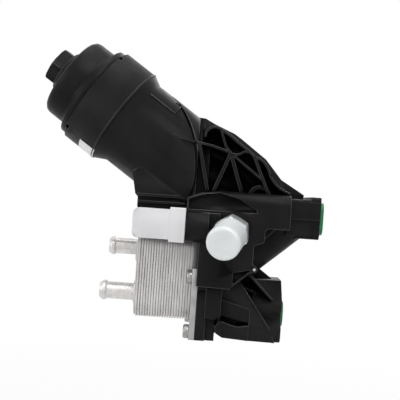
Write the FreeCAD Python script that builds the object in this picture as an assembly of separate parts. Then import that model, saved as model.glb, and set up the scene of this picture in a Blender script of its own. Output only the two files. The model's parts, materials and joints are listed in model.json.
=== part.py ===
import FreeCAD, Part
import math
import os

from FreeCAD import Vector, Rotation, Placement

# Engine oil filter housing with an inclined screw-cap bowl, a stacked-plate oil
# cooler and a pressure switch. Millimetres. +X points at the engine, +Z is up,
# -Y is the side with the pressure switch. The parts are drawn from a datum a little
# in front of the upper engine flange and then moved, so that the origin is the centre
# of that flange's face.

os.makedirs("parts", exist_ok=True)

# Filter axis: the bowl's rim centre and the tilt of the axis below the horizontal
BOWL_RIM_X = -221.4
BOWL_RIM_Z = 104.8
BOWL_TILT = 34.25

# Bowl
BOWL_THREAD_STEP = 2.1
BOWL_HEAD_WALL = 4.4
BOWL_HEAD_LEN = 33.0
BOWL_CONE_LEN = 12.3
BARREL_R = 42.5
BOWL_WALL = 3.4
BOWL_THREAD_LEN = 24.0
BOWL_DEPTH = 90.0
BARREL_END_X = -121.0
BARREL_BAND = 1.4
BAND_X = -124.4
BAND_Y = -36.5
BAND_TURN = 35.6
RIM_SLOT_WIDTH = 6.0
RIM_SLOT_DEPTH = 3.0
SPIGOT_R = 12.0
SPIGOT_BORE_R = 8.5
SPIGOT_HEIGHT = 16.0

# Screw cap
CAP_RIM_GAP = 0.7
CAP_RIM_STEP = 2.4
CAP_RIM_THICK = 5.6
THREAD_GAP = 0.5
CAP_SKIRT_LEN = 18.0
CAP_SKIRT_WALL = 5.6
CAP_COLLAR_R = 20.1
CAP_SHOULDER_R = 6.0
CAP_DOME_STEP = 8.6
CAP_DOME_TOP = 34.4
CAP_WALL = 3.2
CAP_CROWN_R = 22.9
HEX_FLATS = 32.0
HEX_HEIGHT = 11.5
HEX_TURN = 24.7
HEX_NECK = 3.0
HEX_SOCKET_R = 9.0
HEX_SOCKET_DEPTH = 8.0
CAP_CLIP_LEN = 9.0
SEAL_SECTION = 3.5

# Filter element
PAPER_ROOM = 7.6
PAPER_BORE_R = 18.2
PAPER_TOP = 16.5
PLEATS = 30
PLEAT_WEB = 1.6
ELEMENT_PLATE = 2.5
ELEMENT_PLATE_RIM = 0.7
ELEMENT_FOOT = 8.0
TUBE_R = 16.5
TUBE_WALL = 1.8
TUBE_SLOT_WIDTH = 5.0
RUN_GAP = 0.35
SEAT_GAP = 0.3

# Bypass valve in the centre tube
BYPASS_HOLE_R = 8.0
BYPASS_PLATE_R = 11.0
BYPASS_PLATE_THICK = 2.0
BYPASS_SPRING_R = 8.0
BYPASS_SPACE = 20.0
SPRING_WIRE = 1.3
SPRING_END_GAP = 0.1
SPRING_STEPS = 10

# Drain pin of the element and its bore in the bowl floor
DRAIN_OFFSET = 25.0
DRAIN_BORE_R = 3.6
DRAIN_GROOVE_R = 2.2
DRAIN_HEAD_R = 6.0
DRAIN_HEAD_THICK = 2.5
DRAIN_PIN_LEN = 18.0

# Faces of the front body, the ribs and the webs, seen from the switch side
FRONT_Y = -50.0
COVER_THICK = 8.4
GALLERY_TOP_Z = 21.9
GALLERY_REAR_Y = 24.0
RIB_FRONT_Y = -40.0
RIB_REAR_Y = 34.0
WEB_Y = -6.0
WEB_THICK = 3.0
RIB_THICK = 1.8
TRUSS_THICK = 3.0

# Engine flanges
UPPER_FACE_X = -4.6
UPPER_FLANGE_LEN = 30.0
UPPER_HALF_Y = 30.0
UPPER_TOP_Z = 18.8
UPPER_LOW_Z = -15.0
UPPER_EAR_LEN = 9.2
UPPER_EAR_TOP_Z = 21.6
UPPER_EAR_LOW_Z = -17.4
UPPER_BOLT_Y = 38.0
UPPER_BOLT_TOP_Z = 12.5
UPPER_BOLT_LOW_Z = -8.7
LOWER_FACE_X = -35.1
LOWER_BOSS_LEN = 27.0
LOWER_BOLT_Y = 27.0
LOWER_BOLT_TOP_Z = -77.0
LOWER_BOLT_LOW_Z = -103.5
LOWER_FRONT_Y = -39.6
LOWER_TOP_Z = -58.0
LOWER_LOW_Z = -113.0
BOLT_BOSS_R = 10.0
GALLERY_ROUND_R = 12.0
SLEEVE_R = 5.6
SLEEVE_BORE_R = 4.2
DOWEL_X = -63.6
DOWEL_Z = -46.8
DOWEL_R = 1.3
FLANGE_SEAL_WIDTH = 4.0
FLANGE_SEAL_DEPTH = 2.6
FLANGE_SEAL_PROUD = 3.0
FLANGE_SEAL_CORNER = 8.0
UPPER_SEAL_Z = 1.9
UPPER_SEAL_HALF_Y = 27.4
UPPER_SEAL_HALF_Z = 15.1
LOWER_SEAL_Z = -89.3
LOWER_SEAL_HALF_Y = 21.0
LOWER_SEAL_HALF_Z = 11.6

# Oil ports
PORT_R = 8.5
INLET_Y = -10.5
OUTLET_Y = 10.5
LOWER_PORT_R = 6.2
LOWER_PORT_Y = 8.8
PORT_DEPTH = 40.0

# Check valve in the inlet port
CHECK_SEAT_R = 6.0
CHECK_PLATE_R = 7.4
CHECK_PLATE_THICK = 1.6
CHECK_SPRING_R = 5.0
CHECK_CAGE_LEN = 22.0

# Cooler and its flange
COOLER_FACE_X = -113.0
COOLER_FLANGE_THICK = 9.0
BASE_PLATE_THICK = 5.4
CORE_NEAR_Y = -28.0
CORE_FAR_Y = 74.0
CORE_TOP_Z = -20.0
CORE_LOW_Z = -100.2
CORE_CORNER_R = 14.0
PLATE_COUNT = 21
PLATE_PITCH = 2.42
PLATE_LIP = 1.5
PLATE_INSET = 1.6
END_PLATE_THICK = 1.6
FLANGE_LOW_Z = -115.0
FOOT_TOP_Z = -94.5
EAR_BOLT_Y = -35.0
EAR_BOLT_Z = -58.3
LOW_BOLT_Z = -108.2
EAR_HALF = 6.5
BOLT_HEAD_R = 6.4
BOLT_HEAD_HEIGHT = 5.2
BOLT_SHANK_R = 3.0
BOLT_SHANK_LEN = 9.5
INSERT_R = 4.2
INSERT_LEN = 8.0
NIPPLE_R = 8.0
NIPPLE_BORE_R = 6.3
NIPPLE_BEAD_R = 9.25
NIPPLE_LEN = 34.0
NIPPLE_COLLAR_R = 11.5
NIPPLE_COLLAR = 1.6
LOWER_NIPPLE_Y = -6.0
LOWER_NIPPLE_Z = -79.0
UPPER_NIPPLE_Y = 52.0
UPPER_NIPPLE_Z = -40.2
COOLER_PORT_R = 8.0
PORT_SEAL_R = 11.0

# Pressure switch
SWITCH_X = -84.9
SWITCH_Z = -13.0
SWITCH_LEAN_X = 14.2
SWITCH_LEAN_Z = 15.4
SWITCH_BOSS_R = 13.6
SWITCH_SEAT_OUT = 6.0
SWITCH_FLATS = 28.0
SWITCH_HEX_LEN = 11.0
SWITCH_STEM_R = 7.0
SWITCH_STEM_LEN = 12.0
SWITCH_CROWN_R = 10.5
SWITCH_CROWN_LEN = 18.0
SWITCH_CAP_R = 15.0
SWITCH_CAP_LEN = 29.0
SWITCH_CAP_WALL = 1.6

# Control valve and its connector cover
VALVE_Y = -45.0
VALVE_Z = -11.6
VALVE_FACE_X = -127.5
VALVE_BORE_R = 9.5
VALVE_BORE_LEN = 18.0
VALVE_BOSS_R = 14.5
VALVE_BOSS_LEN = 20.5
VALVE_SOCKET_LEN = 30.0
VALVE_PLATE_THICK = 3.0
VALVE_FLOOR = 3.0
VALVE_SPRING_LEN = 6.0
VALVE_PLUNGER_R = 5.2
VALVE_PLUNGER_LEN = 7.0
COVER_X = -174.6
COVER_HEIGHT = 26.5
COVER_DEPTH = 26.0
COVER_COLLAR = 14.0
COVER_COLLAR_HEIGHT = 30.8
COVER_WALL = 1.6
COVER_CORNER_R = 5.0


def box(x0, x1, y0, y1, z0, z1):
    return Part.makeBox(x1 - x0, y1 - y0, z1 - z0, Vector(x0, y0, z0))


def rod(start, direction, radius, length):
    return Part.makeCylinder(radius, length, Vector(*start), Vector(*direction))


def ring(start, direction, outer, inner, length):
    return rod(start, direction, outer, length).cut(rod(start, direction, inner, length))


def fused(shapes):
    whole = shapes[0]
    for shape in shapes[1:]:
        whole = whole.fuse(shape)
    return whole


def joined(shapes):
    """The fused shapes, with the seams between their flush faces taken out."""
    return fused(shapes).removeSplitter()


def cut_by(shape, tools):
    for tool in tools:
        shape = shape.cut(tool)
    return shape


def outline(corners):
    """A closed flat wire in the XZ plane. A corner (x, z, r) is rounded with radius r."""
    edges = []
    points = [Vector(c[0], 0, c[1]) for c in corners]
    count = len(corners)
    ends = []
    for i, corner in enumerate(corners):
        here = points[i]
        radius = corner[2] if len(corner) > 2 else 0
        if radius == 0:
            ends.append((here, None, here))
            continue
        to_last = (points[i - 1] - here).normalize()
        to_next = (points[(i + 1) % count] - here).normalize()
        half = to_last.getAngle(to_next) / 2
        reach = radius / math.tan(half)
        middle = here + (to_last + to_next).normalize() * (radius / math.sin(half) - radius)
        ends.append((here + to_last * reach, middle, here + to_next * reach))
    for i in range(count):
        start, middle, end = ends[i]
        if middle is not None:
            edges.append(Part.Arc(start, middle, end).toShape())
        following = ends[(i + 1) % count][0]
        if (following - end).Length > 1e-6:
            edges.append(Part.makeLine(end, following))
    return Part.Wire(edges)


def slab(corners, y0, y1):
    """The outline, pushed along Y from y0 to y1."""
    face = Part.Face(outline(corners))
    solid = face.extrude(Vector(0, y1 - y0, 0))
    solid.translate(Vector(0, y0, 0))
    return solid


def wall(line, width, y0, y1):
    """A rib of one width along a line of (x, z) points, pushed along Y."""
    pieces = []
    for (xa, za), (xb, zb) in zip(line, line[1:]):
        along = Vector(xb - xa, 0, zb - za).normalize()
        side = Vector(along.z, 0, -along.x) * (width / 2)
        a = Vector(xa, y0, za)
        b = Vector(xb, y0, zb)
        corners = [a + side, b + side, b - side, a - side, a + side]
        pieces.append(Part.Face(Part.makePolygon(corners)).extrude(Vector(0, y1 - y0, 0)))
    for x, z in line[1:-1]:
        pieces.append(rod((x, y0, z), (0, 1, 0), width / 2, y1 - y0))
    return pieces


def bent_wall(start, middle, end, width, y0, y1):
    """A rib of one width along an arc through three (x, z) points, pushed along Y."""
    arc = Part.Arc(Vector(start[0], y0, start[1]), Vector(middle[0], y0, middle[1]),
                   Vector(end[0], y0, end[1]))
    centre = arc.toShape().Curve.Center
    rims = []
    for shift in (-width / 2, width / 2):
        moved = []
        for x, z in (start, middle, end):
            out = (Vector(x, y0, z) - centre).normalize()
            moved.append(Vector(x, y0, z) + out * shift)
        rims.append(moved)
    inner = Part.Arc(*rims[0]).toShape()
    outer = Part.Arc(*rims[1]).toShape()
    sides = [Part.makeLine(rims[0][0], rims[1][0]), Part.makeLine(rims[0][2], rims[1][2])]
    wire = Part.Wire(Part.__sortEdges__([inner, outer] + sides))
    return Part.Face(wire).extrude(Vector(0, y1 - y0, 0))


def turned(corners):
    """A solid of revolution about Z from an outline of (r, z) or (r, z, rounding) corners."""
    return Part.Face(outline(corners)).revolve(Vector(), Vector(0, 0, 1), 360)


def in_bowl(shape):
    """Moves a shape from the bowl's own frame, rim at z 0 and +z out of the bowl, to its place."""
    turn = Rotation(Vector(0, 1, 0), BOWL_TILT - 90)
    shape.Placement = Placement(Vector(BOWL_RIM_X, 0, BOWL_RIM_Z), turn).multiply(shape.Placement)
    return shape


def along_x(shape, x, y, z):
    """Lays a shape made on +Z along +X, its own origin at the given point."""
    shape.Placement = Placement(Vector(x, y, z), Rotation(Vector(0, 1, 0), 90)).multiply(shape.Placement)
    return shape


def hexagon(flats, height, z0, turn=0.0):
    """A hexagonal prism on Z with its top and bottom corners chamfered."""
    radius = flats / math.sqrt(3)
    corners = [Vector(radius * math.cos(math.radians(60 * i + turn)),
                      radius * math.sin(math.radians(60 * i + turn)), z0) for i in range(7)]
    prism = Part.Face(Part.makePolygon(corners)).extrude(Vector(0, 0, height))
    flat = flats / 2
    limit = turned([(0, z0), (flat + 0.6, z0), (radius, z0 + 1.4), (radius, z0 + height - 1.4),
                    (flat + 0.6, z0 + height), (0, z0 + height)])
    return prism.common(limit)


def shoulder(r, z, radius):
    """The corner (r, z) of a turned outline, rounded off with three flats from side to top."""
    points = []
    for turn in (0, 30, 60, 90):
        angle = math.radians(turn)
        points.append((r - radius + radius * math.cos(angle), z - radius + radius * math.sin(angle)))
    return points


def coil(radius, height, turns, z0):
    """A compression spring on Z: square wire in short straight lengths between two seats."""
    half = SPRING_WIRE / 2
    low = z0 + half + SPRING_END_GAP
    rise = height - SPRING_WIRE - 2 * SPRING_END_GAP
    steps = turns * SPRING_STEPS
    rings = []
    for i in range(steps + 1):
        angle = 2 * math.pi * i / SPRING_STEPS
        out = Vector(math.cos(angle), math.sin(angle), 0)
        up = Vector(0, 0, low + rise * i / steps)
        rings.append([out * (radius + a) + up + Vector(0, 0, b)
                      for a, b in ((-half, -half), (half, -half), (half, half), (-half, half))])
    faces = [Part.Face(Part.makePolygon(end + end[:1])) for end in (rings[0], rings[-1])]
    for this, following in zip(rings, rings[1:]):
        for k in range(4):
            a, b = this[k], this[(k + 1) % 4]
            c, d = following[(k + 1) % 4], following[k]
            faces.append(Part.Face(Part.makePolygon([a, b, c, a])))
            faces.append(Part.Face(Part.makePolygon([a, c, d, a])))
    return Part.Solid(Part.Shell(faces))


# Filter housing: bowl

CAVITY_R = BARREL_R - BOWL_WALL
BOWL_THREAD_R = BARREL_R + BOWL_THREAD_STEP
BOWL_HEAD_R = BOWL_THREAD_R + BOWL_HEAD_WALL
CAP_SKIRT_R = BOWL_THREAD_R - THREAD_GAP
CAP_RIM_R = BOWL_HEAD_R - CAP_RIM_STEP
CAP_DOME_R = BOWL_HEAD_R - CAP_DOME_STEP
PAPER_R = CAVITY_R - PAPER_ROOM
PAPER_LEN = PAPER_TOP + BOWL_DEPTH - ELEMENT_FOOT - ELEMENT_PLATE
ELEMENT_PLATE_R = PAPER_R + ELEMENT_PLATE_RIM
BARREL_REACH = BOWL_DEPTH + 60
BARREL_LOW_Z = VALVE_Z + COVER_COLLAR_HEIGHT / 2 + 1.0


def barrel_room():
    """The space that the barrel may fill: left of its end and above the connector cover."""
    return box(BOWL_RIM_X - 80, BARREL_END_X, -80, 80, BARREL_LOW_Z, 220)


def bowl_outside():
    cone_end = BOWL_HEAD_LEN + BOWL_CONE_LEN
    barrel = turned([(0, 0), (BOWL_HEAD_R - 0.8, 0), (BOWL_HEAD_R, -0.8), (BOWL_HEAD_R, -BOWL_HEAD_LEN),
                     (BARREL_R, -cone_end), (BARREL_R, -BARREL_REACH), (0, -BARREL_REACH)])
    barrel = in_bowl(barrel)
    return barrel.common(barrel_room())


def bowl_cavity():
    step = BOWL_THREAD_R - CAVITY_R
    space = turned([(0, 1), (BOWL_THREAD_R, 1), (BOWL_THREAD_R, -BOWL_THREAD_LEN),
                    (CAVITY_R, -BOWL_THREAD_LEN - step), (CAVITY_R, -BOWL_DEPTH + 3),
                    (CAVITY_R - 3, -BOWL_DEPTH), (0, -BOWL_DEPTH)])
    spigot = rod((0, 0, -BOWL_DEPTH), (0, 0, 1), SPIGOT_R, SPIGOT_HEIGHT)
    space = space.cut(spigot)
    outlet = rod((0, 0, -BOWL_DEPTH - 14), (0, 0, 1), SPIGOT_BORE_R, SPIGOT_HEIGHT + 15)
    drain = rod((-DRAIN_OFFSET, 0, -BOWL_DEPTH - DRAIN_PIN_LEN - 6), (0, 0, 1), DRAIN_BORE_R + RUN_GAP, DRAIN_PIN_LEN + 7)
    notches = []
    for side in (35, 145):
        notch = box(BOWL_THREAD_R - 2, BOWL_HEAD_R + 2, -RIM_SLOT_WIDTH / 2, RIM_SLOT_WIDTH / 2,
                    -RIM_SLOT_DEPTH, 1)
        notch.rotate(Vector(), Vector(0, 0, 1), -side)
        notches.append(notch)
    return in_bowl(joined([space, outlet, drain] + notches))


def barrel_details():
    """The raised pad on top of the barrel, the slot beside it and the rib round the head's end."""
    pad = box(30.0, BARREL_R + 10, -30.8, 30.8, -72.0, -BOWL_HEAD_LEN - 6)
    pad = pad.common(rod((0, 0, -72.0), (0, 0, 1), BARREL_R + 1.2, 50))
    slot = box(BARREL_R - 6, BARREL_R + 10, -19.5, -15.5, -71.0, -65.5)
    ring_rib = ring((0, 0, -BOWL_HEAD_LEN), (0, 0, 1), BOWL_HEAD_R + 0.5, BOWL_HEAD_R - 2, 1.2)
    return in_bowl(pad), in_bowl(slot), in_bowl(ring_rib)


def slanted(x0, x1):
    """A slice between two upright planes that slant across the barrel near its end."""
    piece = box(BAND_X + x0, BAND_X + x1, -120, 120, BARREL_LOW_Z, 160)
    piece.rotate(Vector(BAND_X, BAND_Y, 0), Vector(0, 0, 1), BAND_TURN)
    return piece


def barrel_band():
    """The barrel's thicker end, right of the slanted groove."""
    band = in_bowl(rod((0, 0, -BARREL_REACH), (0, 0, 1), BARREL_R + BARREL_BAND, BARREL_REACH - BOWL_HEAD_LEN))
    return band.common(slanted(0, 90)).common(barrel_room())


def band_groove():
    groove = in_bowl(ring((0, 0, -BARREL_REACH), (0, 0, 1), BARREL_R + 6, BARREL_R - 1.8,
                          BARREL_REACH - BOWL_HEAD_LEN - BOWL_CONE_LEN))
    return groove.common(slanted(-2.0, 0))


# Filter housing: bracket between the bowl and the upper flange

NODE_1 = (-120.5, 63.7)
NODE_2 = (-91.2, 56.2)
NODE_3 = (-74.6, 58.4)
NODE_4 = (-69.7, 54.8)
NODE_5 = (-60.1, 33.4)
PEAK = (-101.7, 77.3)
BODY_TOP_Z = 21.0

REAR_EDGE = [(-124.0, 89.0), (-116.3, 88.3, 6), (-107.4, 83.7), (-87.9, 75.6), (-80.8, 70.9), (-57.0, 53.6, 8),
             (-41.2, 35.2, 20), (-18.4, 22.0)]


def bracket():
    web_outline = REAR_EDGE + [(-18.4, 5.0), (-128.0, 5.0)]
    web = slab(web_outline, WEB_Y, WEB_Y + WEB_THICK)
    front = []
    front += wall([(-145.9, 69.0), NODE_1, (-108.9, 61.9), (-97.1, 58.6), NODE_2], RIB_THICK, RIB_FRONT_Y, WEB_Y)
    front += wall([NODE_2, NODE_5], RIB_THICK, RIB_FRONT_Y, WEB_Y)
    front += wall([PEAK, (-96.2, 62.2), NODE_2], RIB_THICK, RIB_FRONT_Y, WEB_Y)
    front += wall([PEAK, (-92.3, 71.7), (-75.2, 59.1), NODE_4, (-64.9, 52.2)], RIB_THICK, RIB_FRONT_Y, WEB_Y)
    front += wall([NODE_1, (-110.1, BODY_TOP_Z)], TRUSS_THICK, RIB_FRONT_Y, WEB_Y)
    front += wall([NODE_2, (-104.4, BODY_TOP_Z)], TRUSS_THICK, RIB_FRONT_Y, WEB_Y)
    front += wall([NODE_2, (-79.0, BODY_TOP_Z)], TRUSS_THICK, RIB_FRONT_Y, WEB_Y)
    front += wall([NODE_4, NODE_5, (-54.3, BODY_TOP_Z)], 2.4, RIB_FRONT_Y, WEB_Y)
    front.append(bent_wall(NODE_2, (-85.5, 55.2), (-79.7, 58.2), RIB_THICK, RIB_FRONT_Y, WEB_Y))
    front += wall([(-79.7, 58.2), NODE_3], RIB_THICK, RIB_FRONT_Y, WEB_Y)
    front.append(bent_wall((-115.2, 69.6), (-110.0, 78.2), PEAK, RIB_THICK, RIB_FRONT_Y, WEB_Y))
    front.append(bent_wall((-66.0, 53.5), (-58.8, 47.6), (-54.6, 38.9), RIB_THICK, RIB_FRONT_Y, WEB_Y))
    front.append(bent_wall((-54.6, 38.9), (-47.2, 29.4), (-34.8, 22.8), RIB_THICK, RIB_FRONT_Y, WEB_Y))
    rear = []
    rear += wall([c[:2] for c in REAR_EDGE], 2.4, WEB_Y, RIB_REAR_Y)
    rear += wall([(-116.3, 88.3), (-104.0, 5.0)], RIB_THICK, WEB_Y, RIB_REAR_Y)
    rear += wall([(-87.9, 75.6), (-104.0, 40.0)], RIB_THICK, WEB_Y, RIB_REAR_Y)
    rear += wall([(-87.9, 75.6), (-70.0, 5.0)], RIB_THICK, WEB_Y, RIB_REAR_Y)
    rear += wall([(-57.0, 53.6), (-70.0, 5.0)], RIB_THICK, WEB_Y, RIB_REAR_Y)
    rear += wall([(-57.0, 53.6), (-45.0, 5.0)], RIB_THICK, WEB_Y, RIB_REAR_Y)
    boss = ring((-62.4, -36.0, 18.5), (0, 1, 0), 10.5, 7.0, 56)
    return joined([web] + front + rear + [boss])


CLEAN_START = (-150.0, 2.0, 48.0)
CLEAN_END = (-28.0, OUTLET_Y, 6.0)


def passage(start, end, radius_a, radius_b):
    a = Vector(*start)
    run = Vector(*end) - a
    return Part.makeCone(radius_a, radius_b, run.Length, a, run)


def clean_passage():
    return passage(CLEAN_START, CLEAN_END, 24.0, 12.0)


# Filter housing: gallery block, sump, flanges

def sump():
    """The block under the bowl that leads to the cooler flange."""
    block = slab([(-180.0, 34.0), (-176.0, 14.0), (-173.5, 11.0), (-173.5, -2.0, 6), (-128.0, -2.0),
                  (-110.0, -2.0), (-110.0, 60.0), (-150.0, 60.0)], -30.0, 38.0)
    ledge = slab([(-173.5, 14.6), (-173.5, 12.2), (-112.0, 12.2), (-112.0, 14.6)], -34.0, 42.0)
    low_ledge = slab([(-172.5, 8.2), (-172.5, 6.2), (-112.0, 6.2), (-112.0, 8.2)], -33.0, 41.0)
    corner = slab([(-133.0, 20.0), (-133.0, CORE_TOP_Z + 5), (COOLER_FACE_X, CORE_TOP_Z + 5), (COOLER_FACE_X, -28.0),
                   (-104.0, -28.0), (-104.0, 20.0)], -20.0, 42.0)
    return joined([block, ledge, low_ledge, corner])


def gallery_block():
    """Behind the front shell: the moulding's own half of the oil galleries."""
    back_y = FRONT_Y + COVER_THICK
    block = slab([(-113.7, 19.2), (-96.4, 21.0), (-34.0, 21.0), (-34.0, -9.6), (-46.0, -10.0), (-56.0, -20.0, 4),
                  (-65.3, -27.0, 3), (-65.3, -44.0), (-84.0, -64.0), (-92.0, -69.0), (-113.0, -69.0),
                  (-113.0, -2.0)], back_y, 24.0)
    return block


def drop_passage():
    """The oblique passage from the upper flange down to the cooler flange."""
    return passage((-24.0, -8.0, 3.5), (-96.0, -8.0, -56.5), 19.0, 21.0)


def slab_x(corners, x0, x1):
    """An outline of (y, z) or (y, z, rounding) corners, pushed along X from x0 to x1."""
    solid = slab(corners, -x1, -x0)
    solid.rotate(Vector(), Vector(0, 0, 1), 90)
    return solid


def upper_flange():
    """The upper engine flange: a block with a thin collar at its face and two ears behind."""
    face = UPPER_FACE_X
    front = -UPPER_HALF_Y
    block = slab_x([(front, UPPER_TOP_Z, 4), (UPPER_HALF_Y, UPPER_TOP_Z, 4), (UPPER_HALF_Y, UPPER_LOW_Z, 2),
                    (front + 1.2, UPPER_LOW_Z, 2), (front + 1.2, 0.4), (front, 0.4)],
                   face - UPPER_FLANGE_LEN, face)
    ear_y = UPPER_BOLT_Y + BOLT_BOSS_R
    collar = slab_x([(front + 0.6, UPPER_EAR_TOP_Z, 3), (ear_y, UPPER_EAR_TOP_Z, 8), (ear_y, UPPER_EAR_LOW_Z, 8),
                     (10.0, UPPER_EAR_LOW_Z), (10.0, 10.0), (front + 0.6, 10.0)], face - UPPER_EAR_LEN, face)
    strip = slab_x([(front + 3.0, -10.0), (20.0, -10.0), (20.0, UPPER_EAR_LOW_Z), (front + 3.0, UPPER_EAR_LOW_Z, 2)],
                   face - 21.0, face)
    return joined([block, collar, strip])


def lower_flange():
    """The lower engine flange: two lobes round the bolts on each side of a narrower waist."""
    wide = -LOWER_FRONT_Y
    waist = wide - 8.5
    side = [(16.0, LOWER_TOP_Z, 4), (wide, -78.8, 4), (waist, -90.0, 3), (wide, -99.5, 4),
            (wide, LOWER_LOW_Z, 6)]
    profile = side + [(-y, z, r) for y, z, r in reversed(side)]
    pieces = [slab_x(profile, LOWER_FACE_X - LOWER_BOSS_LEN, LOWER_FACE_X)]
    for y in (-LOWER_PORT_Y, LOWER_PORT_Y):
        pieces.append(rod((COOLER_FACE_X, y, LOWER_SEAL_Z), (1, 0, 0), LOWER_PORT_R + 3.5,
                          LOWER_FACE_X - COOLER_FACE_X))
    return joined(pieces)


def cooler_flange():
    x1 = COOLER_FACE_X + COOLER_FLANGE_THICK
    plate = box(COOLER_FACE_X, x1, CORE_NEAR_Y, CORE_FAR_Y - 4, FLANGE_LOW_Z, CORE_TOP_Z - 4)
    ear = slab([(COOLER_FACE_X, -48.0), (x1, -48.0), (x1, FLANGE_LOW_Z), (COOLER_FACE_X, FLANGE_LOW_Z)],
               EAR_BOLT_Y - EAR_HALF, CORE_NEAR_Y)
    step = slab([(x1 - 1, -64.0), (-90.6, -64.0), (-90.6, -91.6, 4), (-96.0, -94.8), (x1 - 1, FOOT_TOP_Z)],
                LOWER_FRONT_Y - 3.4, 20.0)
    foot = slab([(x1 - 1, FOOT_TOP_Z), (-95.8, FOOT_TOP_Z), (-95.8, -100.5), (-93.5, -101.8), (-93.5, -107.5),
                 (-95.2, -107.5), (-95.2, FLANGE_LOW_Z), (x1 - 1, FLANGE_LOW_Z)], -38.0, 20.0)
    return joined([plate, ear, step, foot])


def lower_webs():
    """Webs and the rounded bottom wall between the cooler flange and the lower engine flange."""
    front = LOWER_FRONT_Y
    web = slab([(-92.0, -69.0), (-84.0, -64.0), (-76.2, -58.2), (-46.2, -99.8), (-40.0, LOWER_LOW_Z),
                (-88.0, -111.0), (-93.8, -104.5)], front, front + 12.0)
    dish = rod((-98.0, front - 3.0, -87.5), (0.965, 0, -0.262), 12.5, 46.0)
    dish = dish.common(box(-90.5, -64.5, front - 20, front + 20, -104, -75))
    web = web.cut(dish)
    bottom = slab([(-95.5, -101.5), (-90.2, -95.8, 1), (-82.0, -98.7, 20), (-73.6, -100.3, 8), (-64.3, -98.4, 1),
                   (-64.3, -112.4), (-88.0, -111.0, 2), (-94.0, -107.5)], front - 1.4, 30.0)
    low_right = slab([(-66.0, -101.0), (-46.0, -101.0), (-46.0, LOWER_LOW_Z + 0.2), (-66.0, LOWER_LOW_Z + 0.6)],
                     front, 30.0)
    edge = wall([(-77.3, -56.8), (-46.2, -99.8)], 1.4, front - 0.9, -14.0)
    high = wall([(-68.0, -51.5), (-44.6, -73.8)], 1.6, front - 0.5, -4.0)
    cross = wall([(-70.5, -65.0), (-48.0, -74.1)], 1.2, front + 10.0, 0.0)
    shelf = slab([(-70.0, -65.2), (-48.0, -74.3), (-50.0, -79.5), (-56.5, -84.5), (-63.0, -78.0)], front + 14.0, -4.0)
    mid = slab([(-92.0, -66.0), (-59.0, -46.5), (-43.0, -58.0), (LOWER_FACE_X, -66.0), (LOWER_FACE_X, -108.0),
                (-92.0, -110.0)], -4.0, 0.0)
    return fused([web, mid, bottom, low_right, shelf] + edge + high + cross)


COOLER_PORTS = [(UPPER_NIPPLE_Y - 46.0, UPPER_NIPPLE_Z - 4.0), (LOWER_NIPPLE_Y + 14.0, LOWER_NIPPLE_Z)]
COOLER_BOLTS = [(EAR_BOLT_Y, EAR_BOLT_Z), (EAR_BOLT_Y, LOW_BOLT_Z), (CORE_FAR_Y - 14.0, LOW_BOLT_Z)]
REAR_POCKETS = [(-108.0, -90.0, -30.0, -6.0), (-86.0, -66.0, -30.0, -6.0), (-62.0, -46.0, -6.0, 6.0)]


def rounded_bar(x, z, half_y, half_z, corner, length):
    """A bar along +X with a rounded rectangle for its section."""
    corners = [(-half_y, z - half_z, corner), (half_y, z - half_z, corner), (half_y, z + half_z, corner),
               (-half_y, z + half_z, corner)]
    return slab_x(corners, x, x + length)


def profile_ring(face_x, z, half_y, half_z, slack, length):
    """The seal's own ring, or with no slack its groove, from the groove's floor outwards."""
    x = face_x - FLANGE_SEAL_DEPTH
    inset = FLANGE_SEAL_WIDTH - slack
    outer = rounded_bar(x, z, half_y - slack, half_z - slack, FLANGE_SEAL_CORNER - slack, length)
    inner = rounded_bar(x, z, half_y - inset, half_z - inset, FLANGE_SEAL_CORNER - inset, length)
    return outer.cut(inner)


def rear_pockets():
    """Core-outs on the rear of the gallery block, between its ribs."""
    floor_y = FRONT_Y + COVER_THICK + 16.0
    pockets = []
    for x0, x1, z0, z1 in REAR_POCKETS:
        pockets.append(box(x0, x1, floor_y, GALLERY_REAR_Y + 1, z0, z1))
    return pockets


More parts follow.
